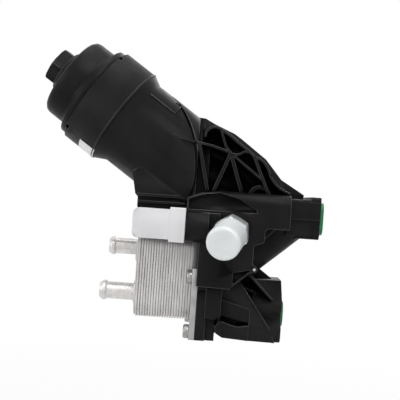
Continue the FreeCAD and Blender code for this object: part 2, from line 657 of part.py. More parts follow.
def housing_cuts():
    cuts = [bowl_cavity()]
    for y in (OUTLET_Y, INLET_Y):
        cuts.append(rod((UPPER_FACE_X + 1, y, UPPER_SEAL_Z), (-1, 0, 0), PORT_R, PORT_DEPTH))
    for y in (-LOWER_PORT_Y, LOWER_PORT_Y):
        cuts.append(rod((LOWER_FACE_X + 1, y, LOWER_SEAL_Z), (-1, 0, 0), LOWER_PORT_R, PORT_DEPTH))
    for z in (UPPER_BOLT_TOP_Z, UPPER_BOLT_LOW_Z):
        cuts.append(rod((UPPER_FACE_X + 1, UPPER_BOLT_Y, z), (-1, 0, 0), SLEEVE_R, UPPER_EAR_LEN + 2))
    for y in (-LOWER_BOLT_Y, LOWER_BOLT_Y):
        for z in (LOWER_BOLT_TOP_Z, LOWER_BOLT_LOW_Z):
            cuts.append(rod((LOWER_FACE_X + 1, y, z), (-1, 0, 0), SLEEVE_R, LOWER_BOSS_LEN + 1))
            cuts.append(rod((LOWER_FACE_X - LOWER_BOSS_LEN, y, z), (-1, 0, 0), SLEEVE_R + 1.5, 14.0))
    for y, z in COOLER_PORTS:
        cuts.append(rod((COOLER_FACE_X - 1, y, z), (1, 0, 0), COOLER_PORT_R, 20))
        cuts.append(ring((COOLER_FACE_X - 1, y, z), (1, 0, 0), PORT_SEAL_R + 1.8, PORT_SEAL_R - 1.8, 2.8))
    for y, z in COOLER_BOLTS:
        cuts.append(rod((COOLER_FACE_X - 1, y, z), (1, 0, 0), INSERT_R, INSERT_LEN + 1))
        cuts.append(rod((COOLER_FACE_X - 1, y, z), (1, 0, 0), BOLT_SHANK_R + 0.3, BOLT_SHANK_LEN))
    groove = FLANGE_SEAL_DEPTH + 1
    cuts.append(profile_ring(UPPER_FACE_X, UPPER_SEAL_Z, UPPER_SEAL_HALF_Y, UPPER_SEAL_HALF_Z, 0, groove))
    cuts.append(profile_ring(LOWER_FACE_X, LOWER_SEAL_Z, LOWER_SEAL_HALF_Y, LOWER_SEAL_HALF_Z, 0, groove))
    cuts.append(on_switch(rod((0, 0, -SWITCH_STEM_LEN - 1), (0, 0, 1), SWITCH_STEM_R + 0.1, SWITCH_STEM_LEN + 3)))
    return cuts + rear_pockets()


def filter_housing():
    pad, slot, ring_rib = barrel_details()
    body = fused([bowl_outside(), ring_rib, pad, barrel_band(), bracket(), clean_passage(), sump(),
                  gallery_block(), drop_passage(), upper_flange(), lower_flange(), cooler_flange(),
                  lower_webs()])
    return cut_by(body, [slot, band_groove()] + housing_cuts() + [gallery_shell()])


# Front shell with the valve boss and the switch boss

def switch_axis():
    """The switch's direction, out of the front body towards the lower left."""
    return Vector(-math.tan(math.radians(SWITCH_LEAN_X)), -1, -math.tan(math.radians(SWITCH_LEAN_Z))).normalize()


def on_switch(shape):
    """Moves a shape from the switch's own frame, seat at z 0 and +z outwards, to its place."""
    turn = Rotation(Vector(0, 0, 1), switch_axis())
    shape.Placement = Placement(Vector(SWITCH_X, FRONT_Y - SWITCH_SEAT_OUT, SWITCH_Z), turn).multiply(shape.Placement)
    return shape


def gallery_shell():
    back_y = FRONT_Y + COVER_THICK
    shell = slab([(-127.5, 13.4), (-113.7, 19.2), (-96.4, 21.5), (-34.2, GALLERY_TOP_Z), (-34.2, -9.6),
                  (-56.0, -9.6, 4), (-56.2, -22.4, 3), (-65.3, -25.4, 3), (-65.3, -42.2), (-61.5, -45.4),
                  (-83.3, -64.4), (-84.0, -66.0), (-114.4, -65.3), (-114.4, -26.7), (-126.4, -24.5),
                  (-127.4, 0.0)], FRONT_Y, back_y)
    top_r = GALLERY_ROUND_R
    top_z = GALLERY_TOP_Z - top_r
    rounding = joined([box(-140, -30, FRONT_Y, back_y, -80, top_z),
                       rod((-140, FRONT_Y + top_r, top_z), (1, 0, 0), top_r, 110)])
    shell = shell.common(rounding)
    boss = rod((VALVE_FACE_X, VALVE_Y, VALVE_Z), (1, 0, 0), VALVE_BOSS_R, VALVE_BOSS_LEN)
    seat = on_switch(turned([(0, -12), (SWITCH_BOSS_R + 1, -12), (SWITCH_BOSS_R, 0), (0, 0)]))
    seat = seat.common(box(-130, -40, FRONT_Y - 20, back_y, -60, 30))
    lug = slab([(-114.0, 1.0, 2), (-97.0, 1.0), (-97.0, -4.0), (-104.0, -10.7), (-114.0, -5.0, 3)],
               FRONT_Y - 3.0, FRONT_Y + 4)
    pin_boss = rod((DOWEL_X, FRONT_Y, DOWEL_Z), (0, 1, 0), DOWEL_R + 1.6, COVER_THICK)
    return joined([shell, boss, seat, lug, pin_boss])


def scoop():
    """The deep hollow in the front shell, its floor sloping down towards the engine."""
    hollow = slab([(-126.0, 12.2), (-113.2, 17.5), (-97.9, 19.6), (-80.5, 15.2, 20), (-64.9, 5.8),
                   (-64.4, 3.4), (-126.0, 3.4)], FRONT_Y - 2, FRONT_Y + COVER_THICK)
    profile = [Vector(-128, FRONT_Y - 3, -10), Vector(-128, FRONT_Y + COVER_THICK - 3.4, -10),
               Vector(-62, FRONT_Y + COVER_THICK - 1.4, -10), Vector(-62, FRONT_Y - 3, -10)]
    slope = Part.Face(Part.makePolygon(profile + profile[:1])).extrude(Vector(0, 0, 40))
    return hollow.common(slope)


def gallery_cover():
    shell = gallery_shell()
    corner = slab([(-82.3, -50.9, 1), (-66.5, -47.6), (-63.5, -45.2), (-82.6, -62.0, 1)], FRONT_Y - 1, FRONT_Y + 4)
    valve_bore = rod((VALVE_FACE_X - 1, VALVE_Y, VALVE_Z), (1, 0, 0), VALVE_BORE_R, VALVE_BORE_LEN + 1)
    switch_bore = on_switch(rod((0, 0, -SWITCH_STEM_LEN - 1), (0, 0, 1), SWITCH_STEM_R + 0.1,
                                SWITCH_STEM_LEN + 3))
    spot_face = on_switch(rod((0, 0, 0), (0, 0, 1), SWITCH_FLATS / math.sqrt(3) + 1.2, SWITCH_HEX_LEN))
    ear_room = box(COOLER_FACE_X - 3, COOLER_FACE_X + SEAT_GAP, EAR_BOLT_Y - EAR_HALF - 0.5, FRONT_Y + COVER_THICK + 1,
                   -70.0, CORE_TOP_Z)
    pin_hole = rod((DOWEL_X, FRONT_Y - 1, DOWEL_Z), (0, 1, 0), DOWEL_R + 0.02, COVER_THICK + 2)
    return cut_by(shell, [scoop(), corner, valve_bore, switch_bore, spot_face, ear_room, pin_hole])


# Screw cap, seal and centre tube

def filter_cap():
    low = -CAP_SKIRT_LEN
    rim_low = CAP_RIM_GAP
    rim_top = CAP_RIM_GAP + CAP_RIM_THICK
    skirt_in = CAP_SKIRT_R - CAP_SKIRT_WALL
    hexagon_z = CAP_DOME_TOP + HEX_NECK
    cap = turned([(0, low), (CAP_SKIRT_R - 1, low), (CAP_SKIRT_R, low + 1), (CAP_SKIRT_R, rim_low),
                  (CAP_RIM_R, rim_low), (CAP_RIM_R, rim_top - 0.8), (CAP_RIM_R - 0.8, rim_top),
                  (CAP_DOME_R + 0.2, rim_top)] + shoulder(CAP_DOME_R, CAP_DOME_TOP - 3.4, CAP_SHOULDER_R)
                 + [(CAP_CROWN_R, CAP_DOME_TOP), (CAP_COLLAR_R, CAP_DOME_TOP + 1.9), (CAP_COLLAR_R, hexagon_z),
                    (0, hexagon_z)])
    inside = turned([(0, low - 1), (skirt_in, low - 1), (skirt_in, rim_low), (CAP_DOME_R - CAP_WALL, rim_top + 3),
                     (CAP_DOME_R - CAP_WALL, cap_ceiling() - 4), (CAP_DOME_R - CAP_WALL - 4, cap_ceiling()),
                     (0, cap_ceiling())])
    clip_z = cap_ceiling() - CAP_CLIP_LEN
    collar = ring((0, 0, clip_z), (0, 0, 1), TUBE_R + 3.2, TUBE_R + 0.1, CAP_CLIP_LEN)
    nut = hexagon(HEX_FLATS, HEX_HEIGHT, hexagon_z, HEX_TURN)
    socket = rod((0, 0, hexagon_z + HEX_HEIGHT - HEX_SOCKET_DEPTH), (0, 0, 1), HEX_SOCKET_R, HEX_SOCKET_DEPTH + 1)
    groove = ring((0, 0, -4.2), (0, 0, 1), CAP_SKIRT_R + 1, CAP_SKIRT_R - SEAL_SECTION + 0.25, SEAL_SECTION + 0.4)
    return in_bowl(cut_by(joined([cap.cut(inside), collar.cut(clip_windows()), nut]), [socket, groove]))


def clip_windows():
    """Two crossed bars that cut the four oil windows at the top of the centre tube and its collar."""
    bars = []
    for turn in (45, 135):
        bar = box(-TUBE_R - 5, TUBE_R + 5, -5, 5, cap_ceiling() - 5.5, cap_ceiling() - 0.5)
        bar.rotate(Vector(), Vector(0, 0, 1), turn)
        bars.append(bar)
    return joined(bars)


def cap_ceiling():
    return CAP_DOME_TOP - CAP_WALL


def cap_seal():
    """A sealing ring of square section in the cap's groove, a little proud of the skirt."""
    outer = CAP_SKIRT_R + THREAD_GAP - 0.02
    return in_bowl(ring((0, 0, -4.0), (0, 0, 1), outer, outer - SEAL_SECTION + 0.25, SEAL_SECTION))


def element_low():
    return -BOWL_DEPTH + ELEMENT_FOOT


def tube_low():
    return element_low() + ELEMENT_PLATE + SEAT_GAP


def bypass_seat_z():
    return cap_ceiling() - CAP_CLIP_LEN - 1.0


def support_tube():
    tube = ring((0, 0, tube_low()), (0, 0, 1), TUBE_R, TUBE_R - TUBE_WALL, cap_ceiling() - tube_low())
    seat = ring((0, 0, bypass_seat_z()), (0, 0, 1), TUBE_R - 0.5, BYPASS_HOLE_R, 2.0)
    body = joined([tube, seat])
    slots = []
    levels = 5
    pitch = (PAPER_LEN - 24) / levels
    for level in range(levels):
        z = tube_low() + 4 + level * pitch
        for i in range(2):
            slot = box(-TUBE_R - 1, TUBE_R + 1, -TUBE_SLOT_WIDTH, TUBE_SLOT_WIDTH, z, z + pitch - 4)
            slot.rotate(Vector(), Vector(0, 0, 1), 90 * i + 45 * (level % 2))
            slots.append(slot)
    return in_bowl(cut_by(body, slots + [clip_windows()]))


# Bypass valve

def bypass_plate():
    top = bypass_seat_z() - 0.1
    return in_bowl(turned([(0, top - BYPASS_PLATE_THICK), (BYPASS_PLATE_R, top - BYPASS_PLATE_THICK),
                           (BYPASS_PLATE_R, top), (BYPASS_HOLE_R - 1, top), (BYPASS_HOLE_R - 2.5, top + 1.5),
                           (0, top + 1.5)]))


def bypass_retainer():
    top = retainer_top()
    plate = rod((0, 0, top - 2), (0, 0, 1), TUBE_R - TUBE_WALL - 0.02, 2)
    guide = rod((0, 0, top - 1), (0, 0, 1), BYPASS_SPRING_R - 2, 4)
    holes = []
    for i in range(4):
        hole = rod((11.0, 0, top - 3), (0, 0, 1), 2.6, 5)
        hole.rotate(Vector(), Vector(0, 0, 1), 90 * i)
        holes.append(hole)
    return in_bowl(cut_by(joined([plate, guide]), holes))


def retainer_top():
    return bypass_seat_z() - BYPASS_SPACE


def bypass_spring():
    high = bypass_seat_z() - 0.1 - BYPASS_PLATE_THICK
    return in_bowl(coil(BYPASS_SPRING_R, high - retainer_top(), 6, retainer_top()))


# Filter element

def filter_paper():
    """Pleated paper: a star of folds around the centre tube."""
    low = element_low() + ELEMENT_PLATE
    points = []
    for i in range(PLEATS):
        centre = 2 * math.pi * i / PLEATS
        half = math.pi / PLEATS
        for radius, angle in ((PAPER_R, centre - half * 0.18), (PAPER_R, centre + half * 0.18),
                              (PAPER_BORE_R + PLEAT_WEB, centre + half * 0.86),
                              (PAPER_BORE_R + PLEAT_WEB, centre + half * 1.14)):
            points.append(Vector(radius * math.cos(angle), radius * math.sin(angle), low))
    star = Part.Face(Part.makePolygon(points + points[:1])).extrude(Vector(0, 0, PAPER_LEN))
    return in_bowl(star.cut(rod((0, 0, low - 1), (0, 0, 1), PAPER_BORE_R, PAPER_LEN + 2)))


def element_bottom_plate():
    z = element_low()
    plate = ring((0, 0, z), (0, 0, 1), ELEMENT_PLATE_R, SPIGOT_R + RUN_GAP, ELEMENT_PLATE)
    lip = ring((0, 0, z - 3), (0, 0, 1), SPIGOT_R + 2.4, SPIGOT_R + RUN_GAP, 4)
    return in_bowl(joined([plate, lip]))


def element_top_plate():
    z = element_low() + ELEMENT_PLATE + PAPER_LEN
    return in_bowl(ring((0, 0, z), (0, 0, 1), ELEMENT_PLATE_R, TUBE_R + RUN_GAP, ELEMENT_PLATE))


# Drain pin under the element: drawn out of its bore, it lets the bowl run empty

def drain_place(shape):
    shape.translate(Vector(-DRAIN_OFFSET, 0, 0))
    return in_bowl(shape)


def drain_plunger():
    top = element_low()
    stem_low = -BOWL_DEPTH - DRAIN_PIN_LEN
    groove_z = stem_low + 4
    return drain_place(turned([(0, stem_low), (DRAIN_BORE_R - 1, stem_low), (DRAIN_BORE_R, stem_low + 1),
                               (DRAIN_BORE_R, groove_z - 1.1), (DRAIN_GROOVE_R, groove_z - 1.1),
                               (DRAIN_GROOVE_R, groove_z + 1.1), (DRAIN_BORE_R, groove_z + 1.1),
                               (DRAIN_BORE_R, top - DRAIN_HEAD_THICK), (DRAIN_HEAD_R, top - DRAIN_HEAD_THICK),
                               (DRAIN_HEAD_R, top), (0, top)]))


def drain_seal():
    outer = DRAIN_BORE_R + RUN_GAP - 0.03
    z = -BOWL_DEPTH - DRAIN_PIN_LEN + 3
    return drain_place(ring((0, 0, z), (0, 0, 1), outer, DRAIN_GROOVE_R + 0.03, 2.0))


# Check valve in the inlet port, axis along X

def check_front_x():
    return UPPER_FACE_X - 5.0


def check_cage():
    x0 = check_front_x() - CHECK_CAGE_LEN
    tube = ring((x0, INLET_Y, UPPER_SEAL_Z), (1, 0, 0), PORT_R - 0.05, CHECK_PLATE_R + 0.3, CHECK_CAGE_LEN)
    seat = ring((check_front_x() - 2.0, INLET_Y, UPPER_SEAL_Z), (1, 0, 0), PORT_R - 0.2, CHECK_SEAT_R, 2.0)
    rear = ring((x0, INLET_Y, UPPER_SEAL_Z), (1, 0, 0), PORT_R - 0.2, 3.2, 1.6)
    return joined([tube, seat, rear])


def check_plate():
    x = check_front_x() - 2.0 - 0.1 - CHECK_PLATE_THICK
    return rod((x, INLET_Y, UPPER_SEAL_Z), (1, 0, 0), CHECK_PLATE_R, CHECK_PLATE_THICK)


def check_spring():
    x0 = check_front_x() - CHECK_CAGE_LEN + 1.6
    x1 = check_front_x() - 2.1 - CHECK_PLATE_THICK
    return along_x(coil(CHECK_SPRING_R, x1 - x0, 5, 0), x0, INLET_Y, UPPER_SEAL_Z)


# Engine flange seals, sleeves and the dowel

def upper_flange_seal():
    return profile_ring(UPPER_FACE_X, UPPER_SEAL_Z, UPPER_SEAL_HALF_Y, UPPER_SEAL_HALF_Z, 0.1,
                        FLANGE_SEAL_DEPTH + FLANGE_SEAL_PROUD)


def lower_flange_seal():
    return profile_ring(LOWER_FACE_X, LOWER_SEAL_Z, LOWER_SEAL_HALF_Y, LOWER_SEAL_HALF_Z, 0.1,
                        FLANGE_SEAL_DEPTH + FLANGE_SEAL_PROUD)


def flange_sleeves():
    sleeves = []
    for z in (UPPER_BOLT_TOP_Z, UPPER_BOLT_LOW_Z):
        sleeves.append(ring((UPPER_FACE_X - UPPER_EAR_LEN, UPPER_BOLT_Y, z), (1, 0, 0), SLEEVE_R - 0.05,
                            SLEEVE_BORE_R, UPPER_EAR_LEN))
    for y in (-LOWER_BOLT_Y, LOWER_BOLT_Y):
        for z in (LOWER_BOLT_TOP_Z, LOWER_BOLT_LOW_Z):
            sleeves.append(ring((LOWER_FACE_X - LOWER_BOSS_LEN, y, z), (1, 0, 0), SLEEVE_R - 0.05,
                                SLEEVE_BORE_R, LOWER_BOSS_LEN))
    return Part.makeCompound(sleeves)


def dowel():
    return rod((DOWEL_X, FRONT_Y - 1.0, DOWEL_Z), (0, 1, 0), DOWEL_R, COVER_THICK)


# Cooler

def core_slab(x0, x1, inset=0.0):
    corners = []
    y0 = CORE_NEAR_Y + inset
    y1 = CORE_FAR_Y - inset
    z0 = CORE_LOW_Z + inset
    z1 = CORE_TOP_Z - inset
    r = CORE_CORNER_R - inset
    k = r * (1 - math.sqrt(0.5))
    arcs = [((y0, z0 + r), (y0 + k, z0 + k), (y0 + r, z0)), ((y1 - r, z0), (y1 - k, z0 + k), (y1, z0 + r)),
            ((y1, z1 - r), (y1 - k, z1 - k), (y1 - r, z1)), ((y0 + r, z1), (y0 + k, z1 - k), (y0, z1 - r))]
    edges = []
    for i, arc in enumerate(arcs):
        points = [Vector(x0, y, z) for y, z in arc]
        edges.append(Part.Arc(*points).toShape())
        y, z = arcs[(i + 1) % 4][0]
        edges.append(Part.makeLine(points[2], Vector(x0, y, z)))
    return Part.Face(Part.Wire(edges)).extrude(Vector(x1 - x0, 0, 0))


def base_front_x():
    return COOLER_FACE_X - BASE_PLATE_THICK


def core_far_x():
    return base_front_x() - PLATE_COUNT * PLATE_PITCH


def cooler_core():
    """Stacked dished plates, brazed into one block: wide lips over narrower necks."""
    pieces = [core_slab(core_far_x(), base_front_x(), PLATE_INSET)]
    for i in range(PLATE_COUNT):
        x = core_far_x() + i * PLATE_PITCH
        pieces.append(core_slab(x, x + PLATE_LIP))
    return joined(pieces)


def cooler_end_plate():
    x = core_far_x()
    plate = core_slab(x - END_PLATE_THICK, x, 1.5)
    rims = []
    for y, z in ((LOWER_NIPPLE_Y, LOWER_NIPPLE_Z), (UPPER_NIPPLE_Y, UPPER_NIPPLE_Z)):
        rims.append(rod((x - END_PLATE_THICK - 1, y, z), (1, 0, 0), NIPPLE_BORE_R, 4))
    beads = []
    for y, z in ((LOWER_NIPPLE_Y, UPPER_NIPPLE_Z), (UPPER_NIPPLE_Y, LOWER_NIPPLE_Z)):
        bead = Part.makeCone(12.0, 9.5, 2.0, Vector(x - END_PLATE_THICK, y, z), Vector(-1, 0, 0))
        beads.append(bead)
    return cut_by(joined([plate] + beads), rims)


def cooler_base_plate():
    x0 = base_front_x()
    plate = box(x0, COOLER_FACE_X, CORE_NEAR_Y, CORE_FAR_Y, CORE_LOW_Z, CORE_TOP_Z)
    foot = box(x0, COOLER_FACE_X, CORE_NEAR_Y, CORE_FAR_Y, FLANGE_LOW_Z, CORE_LOW_Z)
    ear = box(x0, COOLER_FACE_X, EAR_BOLT_Y - EAR_HALF, CORE_NEAR_Y, FLANGE_LOW_Z, EAR_BOLT_Z + 8)
    body = joined([plate, foot, ear])
    holes = [rod((x0 - 1, y, z), (1, 0, 0), BOLT_SHANK_R + 0.3, BASE_PLATE_THICK + 2) for y, z in COOLER_BOLTS]
    holes += [rod((x0 - 1, y, z), (1, 0, 0), COOLER_PORT_R, BASE_PLATE_THICK + 2) for y, z in COOLER_PORTS]
    return cut_by(body, holes)


def nipple(y, z):
    root = core_far_x() - END_PLATE_THICK
    body = turned([(0, 0), (NIPPLE_COLLAR_R, 0), (NIPPLE_COLLAR_R, NIPPLE_COLLAR), (NIPPLE_R, NIPPLE_COLLAR + 1.2),
                   (NIPPLE_R, NIPPLE_LEN - 7.0), (NIPPLE_BEAD_R, NIPPLE_LEN - 5.6), (NIPPLE_BEAD_R, NIPPLE_LEN - 3.1),
                   (NIPPLE_R - 0.4, NIPPLE_LEN - 0.8), (NIPPLE_R - 1.0, NIPPLE_LEN), (0, NIPPLE_LEN)])
    body = body.cut(rod((0, 0, -1), (0, 0, 1), NIPPLE_BORE_R, NIPPLE_LEN + 2))
    body.Placement = Placement(Vector(root, y, z), Rotation(Vector(0, 0, 1), Vector(-1, 0, 0)))
    return body


def lower_nipple():
    return nipple(LOWER_NIPPLE_Y, LOWER_NIPPLE_Z)


def upper_nipple():
    return nipple(UPPER_NIPPLE_Y, UPPER_NIPPLE_Z)


def cooler_bolts():
    bolts = []
    for y, z in COOLER_BOLTS:
        x = base_front_x()
        head = turned([(0, 0), (BOLT_HEAD_R, 0), (BOLT_HEAD_R, BOLT_HEAD_HEIGHT - 1.2),
                       (BOLT_HEAD_R - 1.2, BOLT_HEAD_HEIGHT), (3.2, BOLT_HEAD_HEIGHT), (3.2, BOLT_HEAD_HEIGHT - 2.6),
                       (0, BOLT_HEAD_HEIGHT - 2.6)])
        head.Placement = Placement(Vector(x, y, z), Rotation(Vector(0, 0, 1), Vector(-1, 0, 0)))
        shank = rod((x - 0.5, y, z), (1, 0, 0), BOLT_SHANK_R, BASE_PLATE_THICK + BOLT_SHANK_LEN - 2)
        bolts.append(joined([head, shank]))
    return Part.makeCompound(bolts)


def thread_inserts():
    inserts = []
    for y, z in COOLER_BOLTS:
        inserts.append(ring((COOLER_FACE_X, y, z), (1, 0, 0), INSERT_R - 0.05, BOLT_SHANK_R + 0.05, INSERT_LEN))
    return Part.makeCompound(inserts)


def port_seals():
    seals = []
    for y, z in COOLER_PORTS:
        seals.append(ring((COOLER_FACE_X, y, z), (1, 0, 0), PORT_SEAL_R + 1.6, PORT_SEAL_R - 1.6, 1.7))
    return Part.makeCompound(seals)


# Pressure switch

def switch_body():
    z0 = 1.5
    hex_top = z0 + SWITCH_HEX_LEN
    nut = hexagon(SWITCH_FLATS, SWITCH_HEX_LEN, z0, 17)
    stem = rod((0, 0, -SWITCH_STEM_LEN), (0, 0, 1), SWITCH_STEM_R, SWITCH_STEM_LEN + z0 + 1)
    crown = ring((0, 0, hex_top - 0.5), (0, 0, 1), SWITCH_CROWN_R, SWITCH_CROWN_R - 1.5, 3.0)
    return on_switch(joined([nut, stem, crown]))


def switch_seal():
    return on_switch(ring((0, 0, 0), (0, 0, 1), SWITCH_STEM_R + 4.0, SWITCH_STEM_R + 0.1, 1.5))


def switch_insulator():
    z0 = 1.5 + SWITCH_HEX_LEN
    return on_switch(turned([(0, z0), (SWITCH_CROWN_R - 1.55, z0), (SWITCH_CROWN_R - 1.55, z0 + SWITCH_CROWN_LEN),
                             (SWITCH_CROWN_R - 4, z0 + SWITCH_CROWN_LEN), (SWITCH_CROWN_R - 4, z0 + 6), (0, z0 + 6)]))


def switch_terminal():
    z0 = 1.5 + SWITCH_HEX_LEN + 6
    blade = box(-3.15, 3.15, -0.4, 0.4, z0, z0 + 9)
    return on_switch(blade)


def switch_cap():
    z0 = 1.5 + SWITCH_HEX_LEN + 0.5
    top = z0 + SWITCH_CAP_LEN
    cap = turned([(0, z0), (SWITCH_CAP_R, z0)] + shoulder(SWITCH_CAP_R, top, 3.0) + [(0, top)])
    wide = SWITCH_CAP_R - SWITCH_CAP_WALL
    grip = SWITCH_CROWN_R + RUN_GAP
    inside = turned([(0, z0 - 1), (grip, z0 - 1), (grip, z0 + 4), (wide, z0 + 5), (wide, top - 4),
                     (wide - 2, top - 2), (0, top - 2)])
    return on_switch(cap.cut(inside))


# Control valve cartridge and its connector cover

def valve_body():
    x = VALVE_FACE_X
    barrel = rod((x, VALVE_Y, VALVE_Z), (1, 0, 0), VALVE_BORE_R - 0.1, VALVE_BORE_LEN - 1)
    plate = box(x - VALVE_PLATE_THICK, x, VALVE_Y - 10.5, VALVE_Y + 10.5, VALVE_Z - 11.0, VALVE_Z + 11.0)
    x1 = x - VALVE_PLATE_THICK
    socket = box(x1 - VALVE_SOCKET_LEN, x1, VALVE_Y - 9, VALVE_Y + 9, VALVE_Z - 7.5, VALVE_Z + 7.5)
    mouth = box(x1 - VALVE_SOCKET_LEN - 1, x1 - 12, VALVE_Y - 7.2, VALVE_Y + 7.2, VALVE_Z - 5.7, VALVE_Z + 5.7)
    bore = rod((x + VALVE_FLOOR, VALVE_Y, VALVE_Z), (1, 0, 0), VALVE_PLUNGER_R + RUN_GAP, VALVE_BORE_LEN)
    return cut_by(joined([barrel, plate, socket]), [mouth, bore])


def valve_plunger():
    x = VALVE_FACE_X + VALVE_FLOOR + VALVE_SPRING_LEN
    return rod((x, VALVE_Y, VALVE_Z), (1, 0, 0), VALVE_PLUNGER_R, VALVE_PLUNGER_LEN)


def valve_spring():
    spring = coil(VALVE_PLUNGER_R - 1.6, VALVE_SPRING_LEN, 2, 0)
    return along_x(spring, VALVE_FACE_X + VALVE_FLOOR, VALVE_Y, VALVE_Z)


def valve_terminals():
    x1 = VALVE_FACE_X - VALVE_PLATE_THICK - 12
    pins = [box(x1 - 10, x1, VALVE_Y + y - 1.2, VALVE_Y + y + 1.2, VALVE_Z - 0.4, VALVE_Z + 0.4) for y in (-3, 3)]
    return Part.makeCompound(pins)


def connector_cover():
    x1 = VALVE_FACE_X - SEAT_GAP
    half_y = COVER_DEPTH / 2
    half_z = COVER_HEIGHT / 2
    body = slab([(COVER_X, VALVE_Z - half_z, COVER_CORNER_R), (x1, VALVE_Z - half_z), (x1, VALVE_Z + half_z),
                 (COVER_X, VALVE_Z + half_z, COVER_CORNER_R)], VALVE_Y - half_y, VALVE_Y + half_y)
    collar_z = COVER_COLLAR_HEIGHT / 2
    collar = box(x1 - COVER_COLLAR, x1, VALVE_Y - half_y - 1, VALVE_Y + half_y + 1, VALVE_Z - collar_z, VALVE_Z + collar_z)
    w = COVER_WALL
    inside = box(COVER_X + w, x1 + 1, VALVE_Y - half_y + w, VALVE_Y + half_y - w, VALVE_Z - half_z + w, VALVE_Z + half_z - w)
    return joined([body, collar]).cut(inside)


MAKERS = [filter_housing, gallery_cover, filter_cap, cap_seal, support_tube, bypass_plate, bypass_retainer,
          bypass_spring, filter_paper, element_bottom_plate, element_top_plate, drain_plunger, drain_seal,
          check_cage, check_plate, check_spring, upper_flange_seal, lower_flange_seal,
          flange_sleeves, dowel, cooler_core, cooler_end_plate, cooler_base_plate, lower_nipple, upper_nipple,
          cooler_bolts, thread_inserts, port_seals, switch_body, switch_seal, switch_insulator,
          switch_terminal, switch_cap, valve_body, valve_plunger, valve_spring, valve_terminals,
          connector_cover]

for make in MAKERS:
    shape = make()
    shape.translate(Vector(-UPPER_FACE_X, 0, 0))
    shape.exportStep(f"parts/{make.__name__}.step")
    print(make.__name__, len(shape.Solids), "solids", round(shape.Volume / 1000, 2), "cm3", shape.isValid())
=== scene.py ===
# %% [markdown]
# An engine oil filter housing with its oil cooler, dressed for a studio photograph.
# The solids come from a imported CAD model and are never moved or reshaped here. This
# script gives them their finishes, rounds their moulded edges, adds the small details
# that only matter to the eye, and sets up the camera, the floor and the light.

# %% Load the frame
import bmesh
import bpy
import json
import math
from mathutils import Matrix, Vector
from mathutils.bvhtree import BVHTree

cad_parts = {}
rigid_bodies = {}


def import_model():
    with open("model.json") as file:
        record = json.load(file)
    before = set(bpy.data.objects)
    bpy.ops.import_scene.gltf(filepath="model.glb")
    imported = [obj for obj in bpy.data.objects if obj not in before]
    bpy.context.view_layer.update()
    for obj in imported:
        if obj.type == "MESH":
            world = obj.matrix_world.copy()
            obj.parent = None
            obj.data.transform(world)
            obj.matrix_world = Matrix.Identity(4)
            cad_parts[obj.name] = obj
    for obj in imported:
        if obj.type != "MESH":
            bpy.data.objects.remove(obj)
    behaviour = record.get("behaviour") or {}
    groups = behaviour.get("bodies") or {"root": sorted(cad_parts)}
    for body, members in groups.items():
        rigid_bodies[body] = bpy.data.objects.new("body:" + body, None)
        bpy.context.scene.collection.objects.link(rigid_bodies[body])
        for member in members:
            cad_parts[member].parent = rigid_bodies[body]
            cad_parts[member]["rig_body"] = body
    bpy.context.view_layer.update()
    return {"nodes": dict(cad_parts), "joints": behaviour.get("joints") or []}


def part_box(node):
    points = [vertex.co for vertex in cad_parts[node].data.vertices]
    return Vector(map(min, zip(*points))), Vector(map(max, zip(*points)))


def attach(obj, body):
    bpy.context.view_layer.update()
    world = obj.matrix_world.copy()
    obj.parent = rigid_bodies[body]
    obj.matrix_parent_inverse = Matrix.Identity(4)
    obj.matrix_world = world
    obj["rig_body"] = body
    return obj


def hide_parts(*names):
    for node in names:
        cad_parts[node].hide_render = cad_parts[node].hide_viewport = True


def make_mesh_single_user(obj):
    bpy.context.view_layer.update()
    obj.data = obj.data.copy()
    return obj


MM = 0.001

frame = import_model()
nodes = frame["nodes"]


def put_in_scene(name, data):
    thing = bpy.data.objects.new(name, data)
    bpy.context.scene.collection.objects.link(thing)
    return thing


print("nodes in the frame:", len(nodes))

# %% [markdown]
# The photographer stood on the side of the pressure switch, about 0.75 m away, with the
# camera level with the middle of the part and rolled by 4 degrees. A lens of 70.6 mm on a
# 36 mm sensor then gives the photograph's scale. The camera looks along +Y, so its own
# axes are written out as a matrix, with the roll in its first two columns.

# %% Camera
ROLL = math.radians(4.0)
LENS = 70.61
SENSOR = 36.0
VIEW_X = -111.6 * MM
VIEW_Z = 11.9 * MM
VIEW_DISTANCE = 750.0 * MM
NEAREST_SEEN = 10.0 * MM

camera_data = bpy.data.cameras.new("camera")
camera_data.lens = LENS
camera_data.sensor_width = SENSOR
camera_data.clip_start = NEAREST_SEEN
camera = put_in_scene("camera", camera_data)
right = Vector((math.cos(ROLL), 0, math.sin(ROLL)))
up = Vector((-math.sin(ROLL), 0, math.cos(ROLL)))
back = Vector((0, -1, 0))
turn = Matrix((right, up, back)).transposed().to_4x4()
camera.matrix_world = Matrix.Translation((VIEW_X, -VIEW_DISTANCE, VIEW_Z)) @ turn
bpy.context.scene.camera = camera
print("camera at", [round(v, 3) for v in camera.location])

# %% [markdown]
# A product shot like this one is lit by big soft boxes in a white room. The biggest hangs
# above the part, so the tops of the tubes and the edges of the ribs catch the light and
# the pockets between the ribs stay dark. The room is the world's colour: white where the
# camera or a reflection sees it, and grey as a light.

# %% World and lamps
ROOM_GREY = 0.38


def maths(tree, operation, *values):
    """A maths node that is fed by sockets or numbers."""
    node = tree.nodes.new("ShaderNodeMath")
    node.operation = operation
    for entry, value in zip(node.inputs, values):
        if isinstance(value, bpy.types.NodeSocket):
            tree.links.new(value, entry)
        else:
            entry.default_value = value
    return node.outputs[0]


